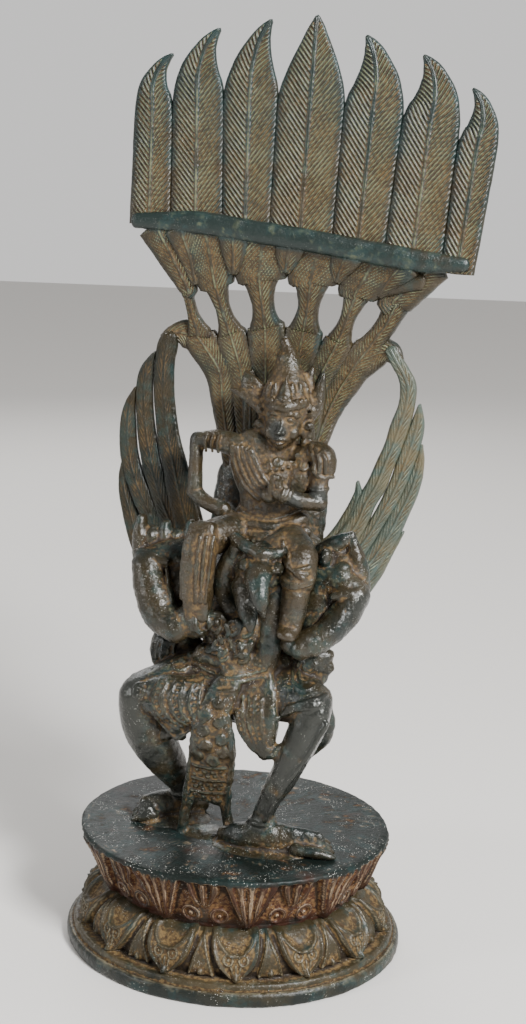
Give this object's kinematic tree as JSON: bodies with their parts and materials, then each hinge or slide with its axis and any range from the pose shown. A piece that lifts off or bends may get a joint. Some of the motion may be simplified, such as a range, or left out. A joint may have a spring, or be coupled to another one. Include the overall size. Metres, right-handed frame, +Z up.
{
  "type": "vishnu on garuda statue",
  "caption": "Cast bronze statue of a crowned deity seated on a squatting bird-man, with slotted wings and an upright feather fan, on an oval lotus base.",
  "frame": {"origin": "centre of the oval flat underside that the base stands on", "axes": "+Z up, the figures face -Y, and +X is the figures' left, to the right in the picture"},
  "size_m": [0.1736, 0.1306, 0.3972],
  "materials": {
    "patinated_bronze": "dark green-black patina with teal, ochre and brown dirt, worn glossy on the knees, shins and forearms"
  },
  "bodies": {
    "root": {"vishnu_garuda_casting": "patinated_bronze"}
  },
  "joints": []
}
